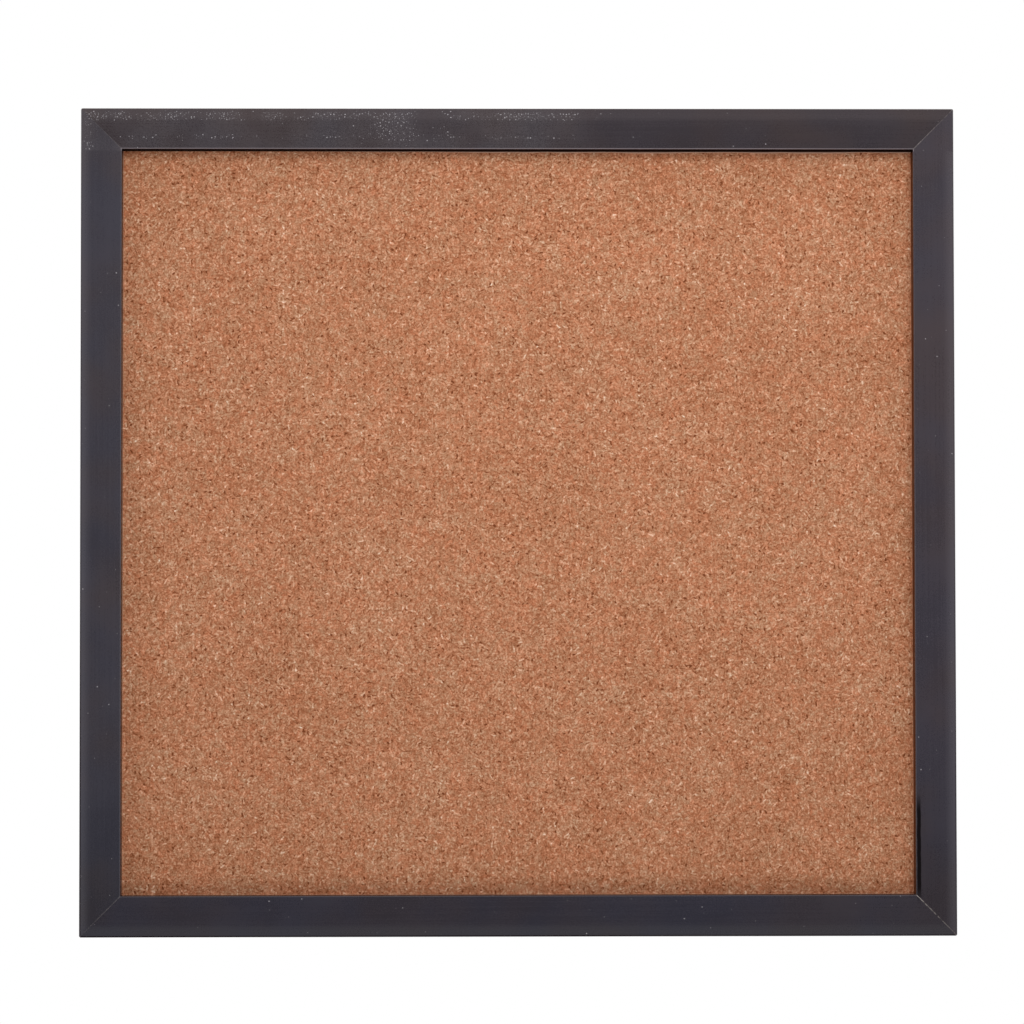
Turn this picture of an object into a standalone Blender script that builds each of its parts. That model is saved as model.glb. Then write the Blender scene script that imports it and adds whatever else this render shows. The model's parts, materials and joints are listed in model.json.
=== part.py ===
"""Cork bulletin board with a mitred frame, hung on a wall by two D-rings.

Metres, +Z up, the pinning side faces -Y. The frame's back lies in the plane Y = 0, and
the origin is midway between the two D-ring pivots, so X = 0 is the plane of symmetry.

The frame is four lengths of one rabbeted moulding, mitred at 45 degrees and pinned with
V-nails. Behind the moulding's front lip lie the cork sheet, the core board and the back
panel, held in the rabbet by framer's points. Each stile carries a hanger: a folded steel
strap, the screw through it, and the D-ring that swings in the strap's fold.
"""
import math

import bmesh
import bpy
from mathutils import Matrix, Vector

MM = 0.001

# The board and its moulding
BOARD_WIDTH = 355.6 * MM
BOARD_HEIGHT = 336.6 * MM
RAIL_WIDTH = 16.7 * MM
RAIL_DEPTH = 19.0 * MM
LIP_DEPTH = 9.0 * MM
RABBET_WIDTH = 5.0 * MM
CROWN_WIDTH = 5.5 * MM
CROWN_DROP = 0.8 * MM
OUTER_ARRIS = 0.8 * MM
INNER_ARRIS = 0.5 * MM
ARC_STEPS = 4

# The sheets in the rabbet, front to back
CORK_THICKNESS = 1.5 * MM
CORE_THICKNESS = 4.0 * MM
PANEL_THICKNESS = 2.0 * MM
SHEET_CLEARANCE = 0.5 * MM

# Gaps between neighbouring pieces
GAP = 0.3 * MM
STEEL_GAP = 0.1 * MM

# V-nails, two across each mitre
NAIL_ARM = 5.0 * MM
NAIL_THICKNESS = 0.5 * MM
NAIL_LENGTH = 7.0 * MM
NAIL_SINK = 0.2 * MM
NAIL_INSETS = {"outer": 3.0 * MM, "inner": 7.5 * MM}

# Framer's points, three to a side
POINT_WIDTH = 6.0 * MM
POINT_REACH = 6.5 * MM
POINT_BITE = 5.0 * MM
POINT_TAPER = 2.5 * MM
POINT_THICKNESS = 0.4 * MM
POINT_SPACING = 0.33

# Hangers
HANGER_DROP = 70.0 * MM
HANGER_INSET = 6.6 * MM
WIRE_RADIUS = 0.8 * MM
WIRE_CLEARANCE = 0.12 * MM
RING_HALF_WIDTH = 5.4 * MM
RING_REACH = 9.6 * MM
RING_CORNER = 1.3 * MM
RING_REST_TILT = math.radians(6)
STRAP_WIDTH = 8.0 * MM
STRAP_THICKNESS = 0.7 * MM
STRAP_RETURN = math.radians(50)
STRAP_BEND = 0.8 * MM
SCREW_DROP = 13.4 * MM
SCREW_HOLE = 1.6 * MM
SCREW_HEAD_RADIUS = 2.5 * MM
SCREW_HEAD_HEIGHT = 1.7 * MM
SCREW_SHANK = 1.25 * MM
SCREW_LENGTH = 10.0 * MM
SCREW_TIP = 2.5 * MM
ROUND_STEPS = 24
SHARP_ANGLE = math.radians(40)

# Derived places
TOP = HANGER_DROP
CENTRE = Vector((0, 0, TOP - BOARD_HEIGHT / 2))
FRONT = -RAIL_DEPTH
LIP_BACK = FRONT + LIP_DEPTH
RABBET_WALL = RAIL_WIDTH - RABBET_WIDTH
CORK_FRONT = LIP_BACK + GAP
CORE_FRONT = CORK_FRONT + CORK_THICKNESS + GAP
PANEL_FRONT = CORE_FRONT + CORE_THICKNESS + GAP
PANEL_BACK = PANEL_FRONT + PANEL_THICKNESS
LOOP_RADIUS = WIRE_RADIUS + WIRE_CLEARANCE + STRAP_THICKNESS / 2
LOWER_LEAF = STEEL_GAP + STRAP_THICKNESS / 2
UPPER_LEAF = LOWER_LEAF + STRAP_THICKNESS + STEEL_GAP
PIVOT_BACK = LOWER_LEAF + LOOP_RADIUS
STRAP_TOP = UPPER_LEAF + STRAP_THICKNESS / 2

# Each side of the frame: its name, its turn about Y, its length, and its outer edge's
# distance from the centre. In its own frame a side lies along X with its outer edge up.
SIDES = (
    ("top_rail", 0.0, BOARD_WIDTH, BOARD_HEIGHT / 2),
    ("right_stile", math.pi / 2, BOARD_HEIGHT, BOARD_WIDTH / 2),
    ("bottom_rail", math.pi, BOARD_WIDTH, BOARD_HEIGHT / 2),
    ("left_stile", -math.pi / 2, BOARD_HEIGHT, BOARD_WIDTH / 2),
)
CORNERS = (
    ("top_left", 0.0, -BOARD_WIDTH / 2, BOARD_HEIGHT / 2),
    ("top_right", math.pi / 2, BOARD_WIDTH / 2, BOARD_HEIGHT / 2),
    ("bottom_right", math.pi, BOARD_WIDTH / 2, -BOARD_HEIGHT / 2),
    ("bottom_left", -math.pi / 2, -BOARD_WIDTH / 2, -BOARD_HEIGHT / 2),
)

# Finishes: base colour, roughness, metallic
FINISHES = {
    "film_wrap": ((0.050, 0.044, 0.052), 0.35, 0.0),
    "cork": ((0.44, 0.19, 0.10), 0.85, 0.0),
    "fibreboard": ((0.36, 0.27, 0.18), 0.90, 0.0),
    "hardboard": ((0.17, 0.09, 0.05), 0.70, 0.0),
    "bright_steel": ((0.60, 0.60, 0.62), 0.35, 1.0),
    "zinc_steel": ((0.66, 0.67, 0.70), 0.30, 1.0),
}


def clear_scene():
    for obj in list(bpy.data.objects):
        bpy.data.objects.remove(obj, do_unlink=True)


def new_collection(name, parent):
    collection = bpy.data.collections.new(name)
    parent.children.link(collection)
    return collection


def make_materials():
    materials = {}
    for name, (colour, roughness, metallic) in FINISHES.items():
        material = bpy.data.materials.new(name)
        material.use_nodes = True
        shader = material.node_tree.nodes["Principled BSDF"]
        shader.inputs["Base Color"].default_value = (*colour, 1)
        shader.inputs["Roughness"].default_value = roughness
        shader.inputs["Metallic"].default_value = metallic
        materials[name] = material
    return materials


def shade_round(mesh):
    """Smooth shading, broken at the real corners."""
    mesh.shade_smooth()
    mesh.set_sharp_from_angle(angle=SHARP_ANGLE)
    return mesh


def add_object(name, data, collection, parent, finish=None):
    obj = bpy.data.objects.new(name, data)
    collection.objects.link(obj)
    obj.parent = parent
    if finish:
        data.materials.append(finish)
    return obj


def add_empty(name, collection, location):
    empty = add_object(name, None, collection, None)
    empty.location = location
    return empty


def make_cutter(obj):
    obj.hide_render = True
    obj.display_type = "WIRE"
    return obj


def add_cut(obj, name, cutter=None, collection=None):
    """Takes a cutter, or every cutter in a collection, out of obj."""
    cut = obj.modifiers.new(name, "BOOLEAN")
    cut.operation = "DIFFERENCE"
    cut.solver = "EXACT"
    if collection:
        cut.operand_type = "COLLECTION"
        cut.collection = collection
    else:
        cut.object = cutter


def plate_mesh(name, outline, low, high):
    """A closed prism: the outline in the XZ plane, from Y = low to Y = high."""
    curve = bpy.data.curves.new(name, "CURVE")
    curve.dimensions = "2D"
    curve.fill_mode = "BOTH"
    curve.extrude = (high - low) / 2
    spline = curve.splines.new("POLY")
    spline.points.add(len(outline) - 1)
    for point, (x, z) in zip(spline.points, outline):
        point.co = (x, z, 0, 1)
    spline.use_cyclic_u = True

    shape = bpy.data.objects.new(name, curve)
    bpy.context.scene.collection.objects.link(shape)
    depsgraph = bpy.context.evaluated_depsgraph_get()
    mesh = bpy.data.meshes.new_from_object(shape.evaluated_get(depsgraph))
    bpy.data.objects.remove(shape, do_unlink=True)

    weld = bmesh.new()
    weld.from_mesh(mesh)
    bmesh.ops.remove_doubles(weld, verts=weld.verts, dist=1e-6)
    weld.to_mesh(mesh)
    weld.free()
    mesh.transform(Matrix.Rotation(math.pi / 2, 4, "X"))
    mesh.transform(Matrix.Translation((0, (low + high) / 2, 0)))
    mesh.name = name
    return mesh


def arc(centre, radius, start, end, steps):
    """Points round centre from the start angle to the end angle, both included."""
    angles = (start + (end - start) * i / steps for i in range(steps + 1))
    return [(centre[0] + radius * math.cos(a), centre[1] + radius * math.sin(a))
            for a in angles]


def moulding_section():
    """The moulding's section as (depth, inset): inset runs in from the outer edge.

    The face is flat at its inner side and falls away to the outer edge on a shallow arc.
    """
    crown_radius = (CROWN_WIDTH**2 + CROWN_DROP**2) / (2 * CROWN_DROP)
    crown_centre = (FRONT + crown_radius, CROWN_WIDTH)
    # The outer arris touches the crown from inside, so both share their point of contact.
    between = crown_radius - OUTER_ARRIS
    contact = math.asin((CROWN_WIDTH - OUTER_ARRIS) / between)
    arris_centre = (crown_centre[0] - between * math.cos(contact), OUTER_ARRIS)
    contact += math.pi
    outer = arc(arris_centre, OUTER_ARRIS, 1.5 * math.pi, contact, ARC_STEPS)
    crown = arc(crown_centre, crown_radius, contact, math.pi, ARC_STEPS)[1:]
    inner_centre = (FRONT + INNER_ARRIS, RAIL_WIDTH - INNER_ARRIS)
    inner = arc(inner_centre, INNER_ARRIS, math.pi, math.pi / 2, ARC_STEPS)
    rabbet = [(LIP_BACK, RAIL_WIDTH), (LIP_BACK, RABBET_WALL), (0, RABBET_WALL), (0, 0)]
    return outer + crown + inner + rabbet


def rail_mesh(name, length, outer_edge):
    """A length of moulding along X, its outer edge at Z = outer_edge, mitred at both ends."""
    section = [(depth, outer_edge - inset) for depth, inset in moulding_section()]
    mesh = plate_mesh(name, section, -length / 2, length / 2)
    mesh.transform(Matrix.Rotation(math.pi / 2, 4, "Z"))
    mitre_gap = GAP / math.sqrt(2)
    for vertex in mesh.vertices:
        inset = outer_edge - vertex.co.z
        vertex.co.x -= math.copysign(inset + mitre_gap, vertex.co.x)
    return shade_round(mesh)


def make_frame(parts, centre, finish, slots):
    for name, turn, length, outer_edge in SIDES:
        rail = add_object(name, rail_mesh(name, length, outer_edge), parts, centre, finish)
        rail.rotation_euler = (0, turn, 0)
        add_cut(rail, "fastener_slots", collection=slots)


def make_sheet(name, front, thickness, parts, centre, finish):
    """A flat sheet that fills the rabbet, less its clearance."""
    cube = bmesh.new()
    bmesh.ops.create_cube(cube, size=1)
    mesh = bpy.data.meshes.new(name)
    cube.to_mesh(mesh)
    cube.free()
    margin = 2 * (RABBET_WALL + SHEET_CLEARANCE)
    size = (BOARD_WIDTH - margin, thickness, BOARD_HEIGHT - margin, 1)
    mesh.transform(Matrix.Diagonal(size))
    sheet = add_object(name, mesh, parts, centre, finish)
    sheet.location = (0, front + thickness / 2, 0)


def nail_outline(gap):
    """A V-nail in plan: two arms at a right angle from an apex at the origin."""
    far = NAIL_ARM + gap
    near = -NAIL_THICKNESS / 2 - gap
    inside = NAIL_THICKNESS / 2 + gap
    return [(near, -near), (far, -near), (far, -inside), (inside, -inside),
            (inside, -far), (near, -far)]


def make_v_nails(parts, centre, finish, slots):
    """Two V-nails across each mitre, with the joint running out between their arms."""
    nail = plate_mesh("v_nail", nail_outline(0), -NAIL_SINK - NAIL_LENGTH, -NAIL_SINK)
    slot_end = -NAIL_SINK - NAIL_LENGTH - GAP
    slot = plate_mesh("v_nail_slot", nail_outline(STEEL_GAP), slot_end, RAIL_DEPTH)
    nail.materials.append(finish)
    for corner, turn, x, z in CORNERS:
        for row, inset in NAIL_INSETS.items():
            place = (x - math.copysign(inset, x), 0, z - math.copysign(inset, z))
            name = f"v_nail_{corner}_{row}"
            for data, group in ((nail, parts), (slot, slots)):
                label = name if group is parts else name + "_slot"
                piece = add_object(label, data, group, centre)
                piece.location = place
                piece.rotation_euler = (0, turn, 0)
                if group is slots:
                    make_cutter(piece)


def point_outline(gap):
    """A framer's point: square at the end over the panel, pointed in the wood."""
    half = POINT_WIDTH / 2 + gap
    tip = POINT_BITE + gap
    return [(-half, -POINT_REACH - gap), (half, -POINT_REACH - gap),
            (half, tip - POINT_TAPER), (0, tip), (-half, tip - POINT_TAPER)]


def make_framer_points(parts, centre, finish, slots):
    """Three flat points to a side, pressed into the rabbet's wall behind the back panel."""
    low = PANEL_BACK + STEEL_GAP
    high = low + POINT_THICKNESS
    point = plate_mesh("framer_point", point_outline(0), low, high)
    slot = plate_mesh("framer_point_slot", point_outline(STEEL_GAP), low - STEEL_GAP,
                      high + STEEL_GAP)
    point.materials.append(finish)
    for side, turn, length, outer_edge in SIDES:
        for number in (1, 2, 3):
            along = (number - 2) * POINT_SPACING * length
            place = Vector((along, 0, outer_edge - RABBET_WALL))
            place.rotate(Matrix.Rotation(turn, 3, "Y"))
            name = f"framer_point_{side.split('_')[0]}_{number}"
            for data, group in ((point, parts), (slot, slots)):
                label = name if group is parts else name + "_slot"
                piece = add_object(label, data, group, centre)
                piece.location = place
                piece.rotation_euler = (0, turn, 0)
                if group is slots:
                    make_cutter(piece)


def strap_path():
    """The strap's middle line as (back, up) from the foot of the pivot, leaf to leaf.

    The lower leaf runs up the frame's back, turns round the ring's bar, comes down to the
    upper leaf and runs back to the end.
    """
    loop = arc((PIVOT_BACK, 0), LOOP_RADIUS, math.pi, -STRAP_RETURN, 12)
    leave = loop[-1]
    fall = (leave[0] - UPPER_LEAF) / math.sin(STRAP_RETURN)
    knee_up = leave[1] - fall * math.cos(STRAP_RETURN)
    reach = STRAP_BEND * math.tan(STRAP_RETURN / 2)
    bend_centre = (UPPER_LEAF + STRAP_BEND, knee_up - reach)
    bend = arc(bend_centre, STRAP_BEND, math.pi - STRAP_RETURN, math.pi, 3)
    end = -SCREW_DROP
    return [(LOWER_LEAF, end)] + loop + bend + [(UPPER_LEAF, end)]


def strap_mesh():
    """The strap as a strip one leaf thin, both its ends rounded in plan."""
    path = strap_path()
    columns = [math.sin(math.pi * (i / 12 - 0.5)) for i in range(13)]
    half = STRAP_WIDTH / 2
    strip = bmesh.new()
    rows = []
    for number, (back, up) in enumerate(path):
        at_end = number in (0, len(path) - 1)
        row = []
        for column in columns:
            bulge = half * math.sqrt(max(0, 1 - column**2)) if at_end else 0
            row.append(strip.verts.new((half * column, back, up - bulge)))
        rows.append(row)
    for lower, upper in zip(rows, rows[1:]):
        for i in range(len(columns) - 1):
            strip.faces.new((lower[i], lower[i + 1], upper[i + 1], upper[i]))
    mesh = bpy.data.meshes.new("hanger_strap")
    strip.to_mesh(mesh)
    strip.free()
    return shade_round(mesh)


def cylinder_mesh(name, radius, low, high):
    """A closed cylinder along Y."""
    solid = bmesh.new()
    bmesh.ops.create_cone(solid, cap_ends=True, segments=ROUND_STEPS, radius1=radius,
                          radius2=radius, depth=high - low)
    mesh = bpy.data.meshes.new(name)
    solid.to_mesh(mesh)
    solid.free()
    mesh.transform(Matrix.Rotation(-math.pi / 2, 4, "X"))
    mesh.transform(Matrix.Translation((0, (low + high) / 2, 0)))
    return mesh


def ring_curve():
    """The D-ring's wire: a bar on the pivot, two short sides and a half-round end."""
    side = RING_HALF_WIDTH - RING_CORNER
    bow = RING_REACH - RING_HALF_WIDTH
    path = [(0, 0)]
    path += arc((side, -RING_CORNER), RING_CORNER, math.pi / 2, 0, 4)
    path += arc((0, -bow), RING_HALF_WIDTH, 0, -math.pi, 16)
    path += arc((-side, -RING_CORNER), RING_CORNER, math.pi, math.pi / 2, 4)
    curve = bpy.data.curves.new("d_ring", "CURVE")
    curve.dimensions = "3D"
    curve.bevel_depth = WIRE_RADIUS
    curve.bevel_resolution = 2
    spline = curve.splines.new("POLY")
    spline.points.add(len(path) - 1)
    for point, (across, up) in zip(spline.points, path):
        point.co = (across, 0, up, 1)
    spline.use_cyclic_u = True
    return curve


def screw_profile_mesh():
    """Half of the screw's outline in the XZ plane, from the top of its head to its tip."""
    dome = arc((0, 0), 1, math.pi / 2, 0, 5)[1:]
    points = [(0, SCREW_HEAD_HEIGHT)]
    points += [(x * SCREW_HEAD_RADIUS, z * SCREW_HEAD_HEIGHT) for x, z in dome]
    points += [(SCREW_SHANK, 0), (SCREW_SHANK, SCREW_TIP - SCREW_LENGTH), (0, -SCREW_LENGTH)]
    mesh = bpy.data.meshes.new("hanger_screw")
    edges = [(i, i + 1) for i in range(len(points) - 1)]
    mesh.from_pydata([(x, 0, z) for x, z in points], edges, [])
    return mesh


def cross_outline():
    """The plan of a cross-slot driver's recess, its arms tapering outwards."""
    arm, root, tip = (SCREW_HEAD_RADIUS * part for part in (0.55, 0.15, 0.10))
    quarter = [(arm, tip), (root, root), (tip, arm)]
    outline = []
    for _ in range(4):
        outline += quarter
        quarter = [(-z, x) for x, z in quarter]
    return outline


def make_hanger(side, sign, parts, cutters, slots, finishes):
    """A strap hanger on one stile; its empty sits on the ring's pivot."""
    x = sign * (BOARD_WIDTH / 2 - HANGER_INSET)
    pivot = add_empty(f"{side}_ring_pivot", parts, (x, PIVOT_BACK, 0))

    ring = add_object(f"{side}_d_ring", ring_curve(), parts, pivot, finishes["bright_steel"])
    ring.rotation_euler = (RING_REST_TILT, 0, 0)

    strap = add_object(f"{side}_hanger_strap", strap_mesh(), parts, pivot,
                       finishes["zinc_steel"])
    strap.location = (0, -PIVOT_BACK, 0)
    leaf = strap.modifiers.new("thickness", "SOLIDIFY")
    leaf.thickness = STRAP_THICKNESS
    leaf.offset = 0
    leaf.use_even_offset = True
    hole = cylinder_mesh("strap_hole", SCREW_HOLE, 0, STRAP_TOP + STEEL_GAP)
    hole = make_cutter(add_object(f"{side}_strap_hole", hole, cutters, pivot))
    hole.location = (0, -PIVOT_BACK, -SCREW_DROP)
    add_cut(strap, "screw_hole", hole)

    screw = add_object(f"{side}_hanger_screw", screw_profile_mesh(), parts, pivot,
                       finishes["zinc_steel"])
    seat = STRAP_TOP + STEEL_GAP
    screw.location = (0, seat - PIVOT_BACK, -SCREW_DROP)
    screw.rotation_euler = (-math.pi / 2, 0, 0)
    turn = screw.modifiers.new("turned", "SCREW")
    turn.steps = turn.render_steps = ROUND_STEPS
    turn.use_smooth_shade = True
    turn.use_merge_vertices = True
    turn.merge_threshold = 0.00001
    recess = plate_mesh("driver_recess", cross_outline(), 0, SCREW_HEAD_HEIGHT)
    recess = make_cutter(add_object(f"{side}_driver_recess", recess, cutters, pivot))
    recess.location = (0, seat - PIVOT_BACK + SCREW_HEAD_HEIGHT * 0.45, -SCREW_DROP)
    add_cut(screw, "driver_recess", recess)

    pilot_end = seat - SCREW_LENGTH - GAP
    pilot = cylinder_mesh("pilot_hole", SCREW_SHANK + STEEL_GAP, pilot_end, RAIL_DEPTH)
    pilot = make_cutter(add_object(f"{side}_pilot_hole", pilot, slots, pivot))
    pilot.location = (0, -PIVOT_BACK, -SCREW_DROP)


def main():
    clear_scene()
    root = bpy.context.scene.collection
    parts = new_collection("cork_bulletin_board", root)
    cutters = new_collection("cutters", root)
    slots = new_collection("frame_slots", cutters)
    finishes = make_materials()
    centre = add_empty("board_centre", parts, CENTRE)

    make_v_nails(parts, centre, finishes["bright_steel"], slots)
    make_framer_points(parts, centre, finishes["bright_steel"], slots)
    for side, sign in (("left", -1), ("right", 1)):
        make_hanger(side, sign, parts, cutters, slots, finishes)
    make_frame(parts, centre, finishes["film_wrap"], slots)
    sheets = (
        ("cork_sheet", CORK_FRONT, CORK_THICKNESS, "cork"),
        ("core_board", CORE_FRONT, CORE_THICKNESS, "fibreboard"),
        ("back_panel", PANEL_FRONT, PANEL_THICKNESS, "hardboard"),
    )
    for name, front, thickness, finish in sheets:
        make_sheet(name, front, thickness, parts, centre, finishes[finish])


main()
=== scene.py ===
"""Looks of the cork bulletin board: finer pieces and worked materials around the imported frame.

Metres, +Z up, the pinning side faces -Y. Patterns are laid out in millimetres.
"""
import json
import math

import bmesh
import bpy
import numpy as np
from mathutils import Matrix, Vector, noise

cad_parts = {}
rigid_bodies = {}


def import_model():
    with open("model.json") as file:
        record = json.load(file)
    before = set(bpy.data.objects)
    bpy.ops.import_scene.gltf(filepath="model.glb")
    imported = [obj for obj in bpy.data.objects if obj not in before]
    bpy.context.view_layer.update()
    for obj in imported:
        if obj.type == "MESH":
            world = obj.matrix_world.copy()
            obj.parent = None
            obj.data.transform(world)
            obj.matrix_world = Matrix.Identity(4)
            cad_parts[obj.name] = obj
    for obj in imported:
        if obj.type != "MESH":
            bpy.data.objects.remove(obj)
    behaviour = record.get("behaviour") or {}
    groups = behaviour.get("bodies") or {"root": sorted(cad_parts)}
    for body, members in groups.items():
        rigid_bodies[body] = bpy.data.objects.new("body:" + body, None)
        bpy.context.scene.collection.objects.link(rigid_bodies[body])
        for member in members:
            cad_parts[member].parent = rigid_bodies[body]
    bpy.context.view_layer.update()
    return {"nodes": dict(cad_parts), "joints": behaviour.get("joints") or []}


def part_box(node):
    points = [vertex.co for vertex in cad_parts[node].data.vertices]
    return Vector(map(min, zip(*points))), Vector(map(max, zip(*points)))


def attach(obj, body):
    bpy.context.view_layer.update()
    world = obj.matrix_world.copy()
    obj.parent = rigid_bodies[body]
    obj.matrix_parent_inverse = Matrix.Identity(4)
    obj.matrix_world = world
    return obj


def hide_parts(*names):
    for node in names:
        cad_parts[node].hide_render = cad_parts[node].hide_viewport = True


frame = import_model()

MM = 0.001

# Places read from the frame
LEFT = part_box("left_stile")[0].x
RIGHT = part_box("right_stile")[1].x
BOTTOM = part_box("bottom_rail")[0].z
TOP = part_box("top_rail")[1].z
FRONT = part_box("top_rail")[0].y
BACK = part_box("top_rail")[1].y
RAIL_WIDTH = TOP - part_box("top_rail")[0].z
WIDTH, HEIGHT = RIGHT - LEFT, TOP - BOTTOM
CENTRE = Vector(((LEFT + RIGHT) / 2, 0, (TOP + BOTTOM) / 2))
OPENING_RIGHT = RIGHT - RAIL_WIDTH
OPENING_BOTTOM, OPENING_TOP = BOTTOM + RAIL_WIDTH, TOP - RAIL_WIDTH
CORK_LOW, CORK_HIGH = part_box("cork_sheet")
PIVOTS = {joint["child"]: Vector(joint["pos_m"]) for joint in frame["joints"]}

# The moulding's section
CORK_GAP, SHEET_CLEARANCE = 0.3 * MM, 0.5 * MM
LIP_BACK = CORK_LOW.y - CORK_GAP
RABBET_WALL = RIGHT - CORK_HIGH.x - SHEET_CLEARANCE
CROWN_WIDTH = 5.5 * MM
CROWN_DROP = 0.8 * MM
OUTER_ARRIS = 0.8 * MM
INNER_ARRIS = 0.5 * MM
BACK_ARRIS = 0.3 * MM
# The film's thickness, and how far it comes round onto the back
FILM = 0.12 * MM
FILM_RETURN = 3.2 * MM
LENGTH_STEPS = 72
CORNER_RADIUS = 0.8 * MM
MITRE_GAP = 0.04 * MM
MITRE_CHAMFER = 0.05 * MM
SLOT_GAP = 0.06 * MM

# Sides: name, turn about Y, length, outer edge's distance from the centre
SIDES = (
    ("top_rail", 0.0, WIDTH, HEIGHT / 2),
    ("right_stile", math.pi / 2, HEIGHT, WIDTH / 2),
    ("bottom_rail", math.pi, WIDTH, HEIGHT / 2),
    ("left_stile", -math.pi / 2, HEIGHT, WIDTH / 2),
)
# How far the film has lifted along each mitre, so that its pale backing shows
MITRE_WEAR = {"top_left": 0.10, "top_right": 0.45, "bottom_right": 1.0, "bottom_left": 0.25}
# Painted light and shade: each side's film is made a little lighter or darker and tinted for how
# that side catches the light
FILM_SIDE_LIGHTING = {"top_rail": (0.92, 0.84, 0.77), "right_stile": (1.17, 1.17, 1.17),
             "bottom_rail": (1.23, 1.30, 1.35), "left_stile": (1.24, 1.36, 1.36)}
# The lip's edge past the film's end: how deep the raw strip is, and how far its ledge shows
RAW_LIP = {"top_rail": 3.2 * MM, "right_stile": 6.4 * MM, "bottom_rail": 0.9 * MM,
           "left_stile": 0.7 * MM}
LEDGE = {"top_rail": 0.50 * MM, "right_stile": 0.03 * MM, "bottom_rail": 0.08 * MM,
         "left_stile": 0.10 * MM}
LEDGE_DEPTH = 0.35 * MM
SIDE_CORNERS = {
    "top_rail": ("top_left", "top_right"),
    "right_stile": ("top_right", "bottom_right"),
    "bottom_rail": ("bottom_right", "bottom_left"),
    "left_stile": ("bottom_left", "top_left"),
}

# The cork's relief: its grid, and the sizes of its two kinds of granule and of its pits
RELIEF_COLUMNS, RELIEF_ROWS = 316, 300
COARSE_RELIEF, FINE_RELIEF, PIT_SPACING = 3.1 * MM, 2.0 * MM, 3.7 * MM
COARSE_PROUD, FINE_PROUD, PIT_DEPTH = 0.035 * MM, 0.04 * MM, 0.22 * MM

# The edges broken on CAD pieces that stay
CORE_EDGE, PANEL_EDGE = 0.3 * MM, 0.25 * MM
NAIL_EDGE, POINT_EDGE = 0.08 * MM, 0.1 * MM

# The hangers
WIRE_RADIUS = 0.8 * MM
WIRE_CLEARANCE = 0.12 * MM
RING_HALF_WIDTH = 5.4 * MM
RING_REACH = 9.6 * MM
RING_CORNER = 1.3 * MM
RING_SEAM = 0.15 * MM
WIRE_SIDES = 20
RING_REST_TILT = math.radians(6)
STRAP_WIDTH = 8.0 * MM
STRAP_THICKNESS = 0.7 * MM
STRAP_RETURN = math.radians(50)
STRAP_BEND = 0.8 * MM
STRAP_COLUMNS = 24
STRAP_EDGE = 0.12 * MM
LEAF_GAP = 0.1 * MM
SCREW_DROP = 13.4 * MM
SCREW_HOLE = 1.6 * MM
HEAD_RADIUS = 2.5 * MM
HEAD_HEIGHT = 1.7 * MM
SHANK_RADIUS = 1.25 * MM
SCREW_LENGTH = 10.0 * MM
SCREW_POINT = 2.6 * MM
SCREW_SIDES = 36
THREAD_PITCH = 1.1 * MM
THREAD_DEPTH = 0.3 * MM
THREAD_STEPS = 8

# The studio, placed from the middle of the frame's front: the camera's offsets are along X
# and Z, and the floor lies FLOOR_DROP below the frame
CAMERA_DISTANCE = 1.8
CAMERA_OFFSET = (-0.033, -0.0645)
AIM_OFFSET = (-0.0026, 0.0037)
CAMERA_ROLL = math.radians(-0.068)
LENS = 156
FLOOR_DROP = 1.15
FLOOR_SIZE = 9
# Each light's offset, size and watts
LIGHTS = {
    "key": ((0.06, -0.551, 0.1783), 0.5, 2.85),
    "back_fill": ((-0.9, 1.519, 0.6983), 2.0, 15.0),
}
# The room as the film's gloss sees it: a dim cone round the camera in a bright room
DIM_DIRECTION = (-0.02, -1.0, -0.12)
DIM_ANGLE, BRIGHT_ANGLE = math.radians(9), math.radians(38)
DIM_GLOSS, BRIGHT_GLOSS = 0.03, 1.4


# ---------------------------------------------------------------- node trees

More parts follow.
